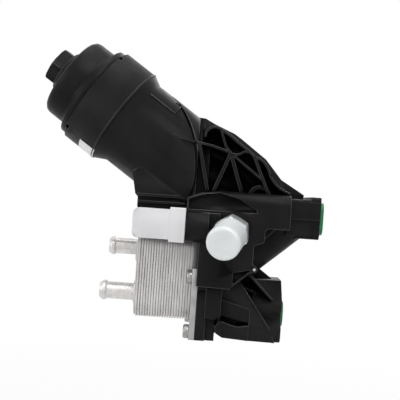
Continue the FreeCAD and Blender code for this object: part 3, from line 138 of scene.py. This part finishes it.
world = bpy.data.worlds.new("white_room")
bpy.context.scene.world = world
world.use_nodes = True
room = world.node_tree
room.nodes.clear()
seen = room.nodes.new("ShaderNodeBackground")
seen.inputs["Color"].default_value = (1, 1, 1, 1)
shine = room.nodes.new("ShaderNodeBackground")
shine.inputs["Color"].default_value = (ROOM_GREY, ROOM_GREY, ROOM_GREY, 1)
path = room.nodes.new("ShaderNodeLightPath")
seen_rays = maths(room, "MAXIMUM", path.outputs["Is Camera Ray"], path.outputs["Is Glossy Ray"])
white_rays = maths(room, "MAXIMUM", seen_rays, path.outputs["Is Transmission Ray"])
mix = room.nodes.new("ShaderNodeMixShader")
out = room.nodes.new("ShaderNodeOutputWorld")
room.links.new(white_rays, mix.inputs[0])
room.links.new(shine.outputs[0], mix.inputs[1])
room.links.new(seen.outputs[0], mix.inputs[2])
room.links.new(mix.outputs[0], out.inputs["Surface"])


def soft_box(name, place, aim, size, power):
    """A square area lamp that looks from place to aim."""
    data = bpy.data.lights.new(name, "AREA")
    data.shape = "SQUARE"
    data.size = size
    data.energy = power
    lamp = put_in_scene(name, data)
    lamp.location = place
    lamp.rotation_euler = (Vector(aim) - Vector(place)).to_track_quat("-Z", "Y").to_euler()


MIDDLE = (VIEW_X, 0.0, 0.0)
soft_box("key_lamp", (0.20, -1.05, 1.25), MIDDLE, 0.9, 14.0)
soft_box("left_lamp", (-1.35, -0.75, 0.35), MIDDLE, 0.8, 6.0)
soft_box("top_lamp", (-0.10, -0.10, 1.50), MIDDLE, 1.0, 8.5)
soft_box("back_lamp", (0.35, 1.25, 0.75), MIDDLE, 0.8, 4.0)
bpy.context.scene.view_settings.view_transform = "Standard"

# %% [markdown]
# The floor is a plain pale sheet well below the part, as the module is held up by its
# flange. It reaches so far that its end can't be told from the room's white. The camera
# and reflections see most of it as plain white. A round patch under the part, which
# fades out at its rim, is in part a matt pale sheet that keeps the part's shadow.

# %% Floor
FLOOR_Z = -0.42
FLOOR_HALF = 60.0
FLOOR_PALE = 0.9
SHADOW_PATCH = 1.6
SHADOW_SHARE = 0.12
FULL_SHADOW_FROM = 0.6

sheet = bmesh.new()
bmesh.ops.create_grid(sheet, x_segments=1, y_segments=1, size=FLOOR_HALF)
bmesh.ops.translate(sheet, verts=sheet.verts, vec=(VIEW_X, 0, FLOOR_Z))
sheet_mesh = bpy.data.meshes.new("floor")
sheet.to_mesh(sheet_mesh)
sheet.free()
floor = put_in_scene("floor", sheet_mesh)

floor_paint = bpy.data.materials.new("floor_paint")
floor_paint.use_nodes = True
tree = floor_paint.node_tree
tree.nodes.clear()
matt = tree.nodes.new("ShaderNodeBsdfDiffuse")
matt.inputs["Color"].default_value = (FLOOR_PALE, FLOOR_PALE, FLOOR_PALE, 1)
bright = tree.nodes.new("ShaderNodeEmission")
bright.inputs["Color"].default_value = (1, 1, 1, 1)
coords = tree.nodes.new("ShaderNodeTexCoord")
patch_place = tree.nodes.new("ShaderNodeMapping")
patch_place.vector_type = "TEXTURE"
patch_place.inputs["Location"].default_value = (VIEW_X, 0, FLOOR_Z)
patch_place.inputs["Scale"].default_value = (SHADOW_PATCH, SHADOW_PATCH, SHADOW_PATCH)
patch = tree.nodes.new("ShaderNodeTexGradient")
patch.gradient_type = "SPHERICAL"
white_part = tree.nodes.new("ShaderNodeMapRange")
white_part.inputs["From Max"].default_value = FULL_SHADOW_FROM
white_part.inputs["To Min"].default_value = 1.0
white_part.inputs["To Max"].default_value = 1.0 - SHADOW_SHARE
tree.links.new(coords.outputs["Object"], patch_place.inputs["Vector"])
tree.links.new(patch_place.outputs["Vector"], patch.inputs["Vector"])
tree.links.new(patch.outputs["Fac"], white_part.inputs["Value"])

rays = tree.nodes.new("ShaderNodeLightPath")
looked_at = maths(tree, "MAXIMUM", rays.outputs["Is Camera Ray"], rays.outputs["Is Glossy Ray"])
share = maths(tree, "MULTIPLY", looked_at, white_part.outputs["Result"])
blend = tree.nodes.new("ShaderNodeMixShader")
surface = tree.nodes.new("ShaderNodeOutputMaterial")
tree.links.new(share, blend.inputs[0])
tree.links.new(matt.outputs[0], blend.inputs[1])
tree.links.new(bright.outputs[0], blend.inputs[2])
tree.links.new(blend.outputs[0], surface.inputs["Surface"])
floor.data.materials.append(floor_paint)
print("floor at", FLOOR_Z)

# %% [markdown]
# Every finish starts from the same small kit: a Principled shader, Object coordinates,
# noise for the slow change of tone and a finer noise for the surface. Object coordinates
# are in metres, so a noise scale of 1000 has grains of about a millimetre.

# %% Finish kit
NOISE_LOW = 0.3
NOISE_HIGH = 0.7


class Finish:
    """A material under construction: its node tree, its shader and its coordinates."""

    def __init__(self, name, colour, roughness, metallic=0.0, specular=0.5):
        self.material = bpy.data.materials.new(name)
        self.material.use_nodes = True
        self.tree = self.material.node_tree
        self.shader = self.tree.nodes["Principled BSDF"]
        self.shader.inputs["Base Color"].default_value = (*colour, 1)
        self.shader.inputs["Roughness"].default_value = roughness
        self.shader.inputs["Metallic"].default_value = metallic
        self.shader.inputs["Specular IOR Level"].default_value = specular
        self.coords = self.tree.nodes.new("ShaderNodeTexCoord").outputs["Object"]
        self.normal = None

    def node(self, kind, **values):
        node = self.tree.nodes.new(kind)
        for key, value in values.items():
            setattr(node, key, value)
        return node

    def link(self, a, b):
        self.tree.links.new(a, b)

    def noise(self, scale, detail=3.0, stretch=(1, 1, 1)):
        """Noise from 0 to 1. stretch squeezes the grain along each axis."""
        place = self.node("ShaderNodeMapping")
        place.inputs["Scale"].default_value = stretch
        self.link(self.coords, place.inputs["Vector"])
        noise = self.node("ShaderNodeTexNoise")
        noise.inputs["Scale"].default_value = scale
        noise.inputs["Detail"].default_value = detail
        self.link(place.outputs["Vector"], noise.inputs["Vector"])
        return noise.outputs["Fac"]

    def between(self, value, low, high):
        """Spreads a noise value over low to high."""
        span = self.node("ShaderNodeMapRange")
        span.inputs["From Min"].default_value = NOISE_LOW
        span.inputs["From Max"].default_value = NOISE_HIGH
        span.inputs["To Min"].default_value = low
        span.inputs["To Max"].default_value = high
        self.link(value, span.inputs["Value"])
        return span.outputs["Result"]

    def ramp(self, value, *stops):
        """Turns a value into colour through (position, colour) stops."""
        ramp = self.node("ShaderNodeValToRGB")
        elements = ramp.color_ramp.elements
        while len(elements) < len(stops):
            elements.new(0.5)
        for element, (position, colour) in zip(elements, stops):
            element.position = position
            element.color = (*colour, 1)
        self.link(value, ramp.inputs["Fac"])
        return ramp.outputs["Color"]

    def colour(self, value):
        self.link(value, self.shader.inputs["Base Color"])

    def roughness(self, value):
        self.link(value, self.shader.inputs["Roughness"])

    def bump(self, value, strength, depth):
        """Adds a relief on top of whatever relief is there already."""
        bump = self.node("ShaderNodeBump")
        bump.inputs["Strength"].default_value = strength
        bump.inputs["Distance"].default_value = depth
        self.link(value, bump.inputs["Height"])
        if self.normal is not None:
            self.link(self.normal, bump.inputs["Normal"])
        self.normal = bump.outputs["Normal"]
        self.link(self.normal, self.shader.inputs["Normal"])


# %% [markdown]
# The black parts are nylon filled with glass fibre. It leaves the mould with a soft
# sheen, slightly cloudy where the fibres flowed, and with a very fine grain. The fibres
# scatter the light, so its mirror part is weak. Light hardly gets into the pockets
# between the ribs, which an occlusion node makes darker still. The rounded edges get a
# finish of their own, with a stronger shine and a lighter colour, which is a painted
# highlight where they catch the light.

# %% Black nylon finishes
POCKET_REACH = 9.0 * MM


def nylon(name, dark, light, smooth, dull, grain=0.25, specular=0.06):
    finish = Finish(name, dark, smooth, specular=specular)
    cloud = finish.noise(38.0, detail=4.0, stretch=(1, 1, 0.6))
    shade = finish.node("ShaderNodeAmbientOcclusion", samples=8)
    shade.inputs["Distance"].default_value = POCKET_REACH
    finish.link(finish.ramp(cloud, (0.32, dark), (0.72, light)), shade.inputs["Color"])
    finish.colour(shade.outputs["Color"])
    finish.roughness(finish.between(finish.noise(150.0, detail=5.0), smooth, dull))
    finish.bump(finish.noise(2600.0, detail=2.0), grain, 0.06 * MM)
    finish.bump(finish.noise(320.0, detail=3.0), 0.15, 0.2 * MM)
    return finish.material


housing_black = nylon("housing_nylon", (0.0100, 0.0097, 0.0097), (0.0172, 0.0165, 0.0166), 0.34, 0.46)
shell_black = nylon("shell_nylon", (0.0084, 0.0082, 0.0084), (0.0140, 0.0136, 0.0140), 0.30, 0.42)
cap_black = nylon("cap_nylon", (0.0100, 0.0096, 0.0098), (0.0160, 0.0153, 0.0157), 0.32, 0.42, grain=0.15)
inner_black = nylon("inner_nylon", (0.012, 0.012, 0.012), (0.020, 0.020, 0.020), 0.45, 0.6)
# painted highlight: the edge finish is lighter than the faces, standing in for light caught by the
# rounded edges
edge_highlight_black = nylon("edge_nylon", (0.034, 0.033, 0.033), (0.046, 0.045, 0.045), 0.28, 0.36, specular=0.45)
blacks = (housing_black, shell_black, cap_black, inner_black, edge_highlight_black)
print("black finishes:", [black.name for black in blacks])

# %% [markdown]
# The cooler is brazed aluminium. The furnace leaves it dull and pale grey, with a patchy
# bloom of flux. Zinc plate, steel, brass and tin are as patchy on a smaller scale, so all
# the metals are one finish in tones of their own, from their darkest to their lightest.

# %% Metal finishes


def dull_metal(name, dark, light, smooth, dull, patch=90.0, grain=0.3):
    finish = Finish(name, light, smooth, metallic=0.72)
    finish.colour(finish.ramp(finish.noise(patch, detail=6.0), (0.30, dark), (0.70, light)))
    finish.roughness(finish.between(finish.noise(400.0), smooth, dull))
    finish.bump(finish.noise(1500.0), grain, 0.08 * MM)
    return finish.material


plate_metal = dull_metal("plate_aluminium", (0.34, 0.34, 0.335), (0.46, 0.46, 0.455), 0.38, 0.5)
nipple_metal = dull_metal("nipple_aluminium", (0.58, 0.56, 0.55), (0.76, 0.74, 0.725), 0.36, 0.5,
                          patch=160.0)
zinc_metal = dull_metal("switch_zinc", (0.46, 0.49, 0.49), (0.66, 0.69, 0.70), 0.32, 0.42,
                        patch=160.0, grain=0.08)
bolt_metal = dull_metal("bolt_steel", (0.28, 0.275, 0.27), (0.42, 0.41, 0.40), 0.3, 0.45, patch=220.0)
sleeve_metal = dull_metal("sleeve_steel", (0.45, 0.45, 0.43), (0.6, 0.6, 0.58), 0.3, 0.45, patch=200.0)
pin_metal = dull_metal("pin_steel", (0.40, 0.40, 0.40), (0.52, 0.52, 0.52), 0.22, 0.32,
                       patch=300.0, grain=0.1)
spring_metal = dull_metal("spring_steel", (0.4, 0.4, 0.4), (0.6, 0.6, 0.6), 0.25, 0.4, patch=500.0)
brass_metal = dull_metal("insert_brass", (0.62, 0.44, 0.2), (0.8, 0.6, 0.3), 0.3, 0.45, patch=400.0)
tin_metal = dull_metal("terminal_tin", (0.6, 0.6, 0.58), (0.8, 0.8, 0.78), 0.25, 0.35, patch=400.0)
ring_metal = dull_metal("seal_metal", (0.5, 0.5, 0.48), (0.7, 0.7, 0.68), 0.3, 0.45, patch=300.0)
print("finishes so far:", len(bpy.data.materials))

# %% [markdown]
# The core of the cooler is a stack of dished plates, and the braze that runs into each
# joint dries darker than the plate. The dark lines are drawn by the place along the
# stack: X divided by the pitch of the plates, of which only the fraction counts. A
# noise that is long down the plates breaks the lines up as the flux does.

# %% Core finish
PLATE_PITCH = 2.42 * MM
LINE_STARTS = 0.52
LINE_DARKEST = 0.78
LINE_WEIGHT = 0.42
WHITE = (1, 1, 1)
BLACK = (0, 0, 0)
BRAZE = (0.25, 0.24, 0.235)
PLATE_DULL = (0.46, 0.445, 0.44)
PLATE_BRIGHT = (0.66, 0.645, 0.635)
stack_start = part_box("cooler_core")[0].x


def core_finish():
    finish = Finish("core_aluminium", (0.55, 0.54, 0.53), 0.5, metallic=0.72)
    parts = finish.node("ShaderNodeSeparateXYZ")
    finish.link(finish.coords, parts.inputs["Vector"])
    along = maths(finish.tree, "SUBTRACT", parts.outputs["X"], stack_start)
    plates = maths(finish.tree, "DIVIDE", along, PLATE_PITCH)
    in_plate = maths(finish.tree, "FRACT", plates)
    line = finish.ramp(in_plate, (LINE_STARTS, WHITE), (LINE_DARKEST, BLACK), (1.0, WHITE))
    streaks = finish.noise(95.0, detail=6.0, stretch=(6.0, 1, 0.6))
    both = maths(finish.tree, "MULTIPLY_ADD", line, LINE_WEIGHT, streaks)
    finish.colour(finish.ramp(both, (0.30, BRAZE), (0.62, PLATE_DULL), (1.0, PLATE_BRIGHT)))
    finish.roughness(finish.between(finish.noise(400.0, stretch=(4.0, 1, 1)), 0.42, 0.6))
    finish.bump(finish.noise(1500.0), 0.3, 0.08 * MM)
    return finish.material


core_metal = core_finish()
print("core lines every", round(PLATE_PITCH / MM, 2), "mm from", round(stack_start / MM, 1), "mm")

# %% [markdown]
# The transport covers are thin polyethylene. Light goes a little way into it, so they
# get some subsurface scattering. The switch cap is the more milky and bluish of the two.
# The flange seals are green rubber, and the paper of the element is cream.

# %% Soft plastics, rubber and paper


def polyethylene(name, colour, shade, roughness, depth):
    finish = Finish(name, colour, roughness)
    finish.colour(finish.ramp(finish.noise(60.0), (0.3, shade), (0.7, colour)))
    finish.shader.inputs["Subsurface Weight"].default_value = 0.35
    finish.shader.inputs["Subsurface Radius"].default_value = (1.0, 1.0, 1.0)
    finish.shader.inputs["Subsurface Scale"].default_value = depth
    finish.bump(finish.noise(900.0, detail=2.0), 0.12, 0.1 * MM)
    return finish.material


def rubber(name, dark, light, roughness):
    finish = Finish(name, dark, roughness, specular=0.35)
    finish.colour(finish.ramp(finish.noise(220.0), (0.3, dark), (0.7, light)))
    finish.bump(finish.noise(1800.0), 0.3, 0.08 * MM)
    return finish.material


cover_white = polyethylene("cover_white", (0.70, 0.70, 0.71), (0.64, 0.64, 0.655), 0.42, 2.0 * MM)
cap_white = polyethylene("cap_white", (0.78, 0.805, 0.81), (0.68, 0.715, 0.725), 0.30, 4.0 * MM)
seal_green = rubber("seal_green", (0.012, 0.13, 0.045), (0.02, 0.2, 0.07), 0.5)
rubber_black = rubber("rubber_black", (0.012, 0.012, 0.012), (0.02, 0.02, 0.02), 0.5)
natural_nylon = rubber("element_plastic", (0.62, 0.62, 0.57), (0.72, 0.72, 0.67), 0.45)

cream = Finish("filter_paper", (0.75, 0.66, 0.46), 0.85, specular=0.2)
fibres = cream.noise(300.0, detail=5.0)
cream.colour(cream.ramp(fibres, (0.3, (0.66, 0.57, 0.38)), (0.7, (0.8, 0.72, 0.52))))
cream.bump(cream.noise(2500.0, detail=4.0), 0.5, 0.2 * MM)
paper_cream = cream.material
print("finishes with the soft ones:", len(bpy.data.materials))

# %% [markdown]
# The CAD solids have hard edges. Moulded and stamped pieces never do, and it is their
# small roundings that catch the light. For each shown piece, a copy of the solid's mesh
# is merged and its sharp outer edges get a bevel of the piece's own width, whose faces
# take the edge finish. On the black nylon that finish has a lighter colour, a painted
# highlight. Inner corners stay as they are, because nothing shines there.
# Where three narrow faces meet, a bevel can throw a corner far out, so every new corner
# is compared with the solid and a stray one is put back onto it. The copy then stands in
# for the solid.

# %% Rounded copies of the solids
MERGE_GAP = 0.002 * MM
ROUNDED_FROM = math.radians(45)
SMOOTH_BELOW = math.radians(40)


def merged_copy(node):
    bm = bmesh.new()
    bm.from_mesh(nodes[node].data)
    bmesh.ops.remove_doubles(bm, verts=bm.verts, dist=MERGE_GAP)
    return bm


def stand_in(node, suffix, bm, *materials):
    """Makes a piece of a bmesh with the given materials, which takes a solid's place and body."""
    mesh = bpy.data.meshes.new(node + "_shape")
    bm.to_mesh(mesh)
    bm.free()
    for material in materials:
        mesh.materials.append(material)
    mesh.shade_smooth()
    mesh.set_sharp_from_angle(angle=SMOOTH_BELOW)
    piece = put_in_scene(node + suffix, mesh)
    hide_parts(node)
    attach(piece, nodes[node]["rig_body"])
    return piece


def rounded_copy(node, material, edge_material, width):
    data = nodes[node].data
    solid = BVHTree.FromPolygons([v.co for v in data.vertices], [p.vertices for p in data.polygons])
    bm = merged_copy(node)
    bmesh.ops.dissolve_degenerate(bm, edges=bm.edges, dist=MERGE_GAP)
    edges = [e for e in bm.edges if e.is_manifold and e.calc_face_angle_signed() > ROUNDED_FROM]
    bmesh.ops.bevel(bm, geom=edges, affect="EDGES", offset=width, segments=2, profile=0.5, material=1,
                    clamp_overlap=False, loop_slide=True, miter_outer="ARC")
    strays = 0
    for corner in bm.verts:
        nearest, _, _, distance = solid.find_nearest(corner.co)
        if distance > width:
            corner.co = nearest
            strays += 1
    stand_in(node, "_rounded", bm, material, edge_material)
    print(node, "edges rounded:", len(edges), "strays put back:", strays)


# On the three black nylon pieces, the bevel faces take the painted highlight finish.
ROUNDED = [
    ("filter_housing", housing_black, edge_highlight_black, 0.3 * MM),
    ("gallery_cover", shell_black, edge_highlight_black, 0.35 * MM),
    ("filter_cap", cap_black, edge_highlight_black, 0.3 * MM),
    ("connector_cover", cover_white, cover_white, 0.6 * MM),
    ("cooler_base_plate", plate_metal, plate_metal, 0.4 * MM),
    ("cooler_bolts", bolt_metal, bolt_metal, 0.3 * MM),
    ("switch_body", zinc_metal, zinc_metal, 0.3 * MM),
]
for node, material, edge_material, width in ROUNDED:
    rounded_copy(node, material, edge_material, width)
print("rounded pieces:", len(ROUNDED))

# %% [markdown]
# The other solids keep their own mesh and only get their finish.

# %% Finishes on the other solids
PLAIN = {
    "cap_seal": rubber_black, "support_tube": inner_black, "bypass_plate": inner_black,
    "bypass_retainer": inner_black, "filter_paper": paper_cream,
    "element_bottom_plate": natural_nylon, "element_top_plate": natural_nylon,
    "drain_plunger": natural_nylon, "drain_seal": rubber_black,
    "check_cage": inner_black, "check_plate": inner_black,
    "upper_flange_seal": seal_green, "lower_flange_seal": seal_green,
    "flange_sleeves": sleeve_metal, "dowel": pin_metal, "cooler_core": core_metal,
    "cooler_end_plate": core_metal, "lower_nipple": nipple_metal, "upper_nipple": nipple_metal,
    "thread_inserts": brass_metal, "port_seals": rubber_black, "switch_seal": ring_metal,
    "switch_insulator": inner_black, "switch_terminal": tin_metal, "switch_cap": cap_white,
    "valve_body": inner_black, "valve_plunger": pin_metal, "valve_terminals": tin_metal,
}
for node, material in PLAIN.items():
    own_mesh = nodes[node].data
    own_mesh.materials.clear()
    own_mesh.materials.append(material)
print("plain pieces:", len(PLAIN))

# %% [markdown]
# Each of the three valves presses a coil spring. A real spring gets shorter as its valve
# moves. Here each spring that a joint names gets a merged copy with a mesh of its own
# and the spring steel finish, which stands in for it; the copy is not shortened.
# The joints say which spring goes with which valve, and where its fixed end is.

# %% Springs
for joint in frame["joints"]:
    for pressed in joint.get("deforming_nodes", []):
        coil = merged_copy(pressed["node"])
        spring = stand_in(pressed["node"], "_coil", coil, spring_metal)
        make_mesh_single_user(spring)

# %% [markdown]
# Details of the bowl are easiest in the bowl's own directions: z out along the filter
# axis, x towards the upper side and y as in the frame, from the middle of the bowl's
# mouth. The cap turns about that same axis, so the joint of the cap gives all of them.
# What lies on the bowl's round wall starts as a line that is spun round the axis.

# %% Bowl directions
cap_joint = next(joint for joint in frame["joints"] if joint["name"] == "cap_turn")
bowl_out = Vector(cap_joint["axis"])
bowl_side = Vector((0, 1, 0)).cross(bowl_out)
bowl_turn = Matrix((bowl_side, (0, 1, 0), bowl_out)).transposed().to_4x4()
bowl_place = Matrix.Translation(cap_joint["pos_m"]) @ bowl_turn
STRIP_MERGE_GAP = 0.0001 * MM


def bowl_strip(radius, low, high, start, end, steps):
    """A strip of the cylinder round the bowl's axis, between two heights and two angles.

    The angles are seen from the mouth, from the upper side towards the switch side.
    """
    bm = bmesh.new()
    first = Matrix.Rotation(-start, 4, "Z")
    ends = [bm.verts.new(first @ Vector((radius, 0, z))) for z in (low, high)]
    bm.edges.new(ends)
    bmesh.ops.spin(bm, geom=bm.verts[:] + bm.edges[:], cent=(0, 0, 0), axis=(0, 0, -1),
                   angle=end - start, steps=steps, use_merge=False)
    return bm


def strip_piece(name, strip, material, thick):
    """Gives a strip a wall, outwards or with a minus sign inwards, and sets it on the bowl."""
    bmesh.ops.recalc_face_normals(strip, faces=strip.faces)
    face = strip.faces[:][0]
    middle = face.calc_center_median()
    if face.normal.dot(Vector((middle.x, middle.y, 0))) < 0:
        bmesh.ops.reverse_faces(strip, faces=strip.faces)
    bmesh.ops.solidify(strip, geom=strip.faces[:], thickness=-thick)
    bmesh.ops.remove_doubles(strip, verts=strip.verts, dist=STRIP_MERGE_GAP)
    bmesh.ops.recalc_face_normals(strip, faces=strip.faces)
    bmesh.ops.transform(strip, matrix=bowl_place, verts=strip.verts)
    mesh = bpy.data.meshes.new(name)
    strip.to_mesh(mesh)
    strip.free()
    mesh.materials.append(material)
    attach(put_in_scene(name, mesh), "housing")


print("bowl mouth at", [round(v / MM, 1) for v in bowl_place.translation], "mm")

# %% [markdown]
# A plain white paper label is stuck round the low side of the bowl's head. It is a strip
# with a thin wall, so that its edge stands off the plastic.

# %% Label
HEAD_RADIUS = 49.0 * MM
LABEL_GAP = 0.05 * MM
LABEL_THICK = 0.15 * MM
LABEL_LOW = -34.0 * MM
LABEL_HIGH = -17.5 * MM
LABEL_START = math.radians(148.5)
LABEL_END = math.radians(186.0)
LABEL_FACETS = 18

paper = Finish("label_paper", (0.76, 0.76, 0.77), 0.5, specular=0.3)
paper.bump(paper.noise(1500.0), 0.1, 0.05 * MM)
label = bowl_strip(HEAD_RADIUS + LABEL_GAP, LABEL_LOW, LABEL_HIGH, LABEL_START, LABEL_END, LABEL_FACETS)
strip_piece("bowl_label", label, paper.material, LABEL_THICK)
print("label", round((LABEL_END - LABEL_START) * HEAD_RADIUS / MM, 1), "mm wide")

# %% [markdown]
# Where the slides of the mould met, the barrel has two fine raised lines: one along it on
# the switch side, and one that runs up and over it in an upright plane. The first is a
# narrow strip. The second is a ring of the same radius that is cut by two upright planes,
# so that only the thin slice between them is left.

# %% Mould lines
BARREL_RADIUS = 42.5 * MM
LINE_WIDTH = 0.3 * MM
LINE_PROUD = 0.12 * MM
LINE_ROOT = 0.3 * MM
SIDE_LINE_ANGLE = math.radians(97.3)
SIDE_LINE_HIGH = -78.0 * MM
SIDE_LINE_LOW = -127.0 * MM
OVER_LINE_X = -157.9 * MM
OVER_LINE_HIGH = -46.0 * MM
OVER_LINE_START = math.radians(44.0)
OVER_LINE_FACETS = 24

half = LINE_WIDTH / BARREL_RADIUS / 2
side_line = bowl_strip(BARREL_RADIUS + LINE_PROUD, SIDE_LINE_LOW, SIDE_LINE_HIGH,
                       SIDE_LINE_ANGLE - half, SIDE_LINE_ANGLE + half, 1)
strip_piece("mould_line_side", side_line, housing_black, -LINE_ROOT)

over_line = bowl_strip(BARREL_RADIUS + LINE_PROUD, SIDE_LINE_LOW, OVER_LINE_HIGH,
                       OVER_LINE_START, SIDE_LINE_ANGLE, OVER_LINE_FACETS)
to_bowl = bowl_place.inverted()
for outward in (-1, 1):
    plane_middle = to_bowl @ Vector((OVER_LINE_X + outward * LINE_WIDTH / 2, 0, 0))
    plane_normal = to_bowl.to_3x3() @ Vector((outward, 0, 0))
    everything = over_line.verts[:] + over_line.edges[:] + over_line.faces[:]
    bmesh.ops.bisect_plane(over_line, geom=everything, plane_co=plane_middle, plane_no=plane_normal,
                           clear_outer=True)
strip_piece("mould_line_over", over_line, housing_black, -LINE_ROOT)
print("mould lines stand", round(LINE_PROUD / MM, 2), "mm proud")

# %% [markdown]
# The web between the cooler flange and the lower engine flange leans back into the
# bracket above its rounded bottom wall. The solid has a plain trough there. A plate
# that starts flush with the web and leans back a little gives that, and leaves a dark
# gap above the wall's lip. Four corners make its face, which is then pushed back. Little
# light gets there, so it takes the darker finish of the shell.

# %% Leaning web
WEB_FRONT = -39.6 * MM
WEB_LEFT = -86.4 * MM
WEB_RIGHT = -59.4 * MM
WEB_THICK = 3.0 * MM
WEB_CORNERS = [
    (WEB_LEFT, 0.2 * MM, -76.4 * MM),
    (WEB_RIGHT, 0.2 * MM, -83.6 * MM),
    (WEB_RIGHT, 1.4 * MM, -96.6 * MM),
    (WEB_LEFT, 2.2 * MM, -91.0 * MM),
]

web = bmesh.new()
face = web.faces.new([web.verts.new((x, WEB_FRONT + back, z)) for x, back, z in WEB_CORNERS])
pushed = bmesh.ops.extrude_face_region(web, geom=[face])
back_corners = [v for v in pushed["geom"] if isinstance(v, bmesh.types.BMVert)]
bmesh.ops.translate(web, verts=back_corners, vec=(0, WEB_THICK, 0))
bmesh.ops.recalc_face_normals(web, faces=web.faces)
web_mesh = bpy.data.meshes.new("leaning_web")
web.to_mesh(web_mesh)
web.free()
# painted shade: the darker shell finish stands in for the shade in this hollow
web_mesh.materials.append(shell_black)
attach(put_in_scene("leaning_web", web_mesh), "housing")
print("leaning web", round((WEB_RIGHT - WEB_LEFT) / MM, 1), "mm wide")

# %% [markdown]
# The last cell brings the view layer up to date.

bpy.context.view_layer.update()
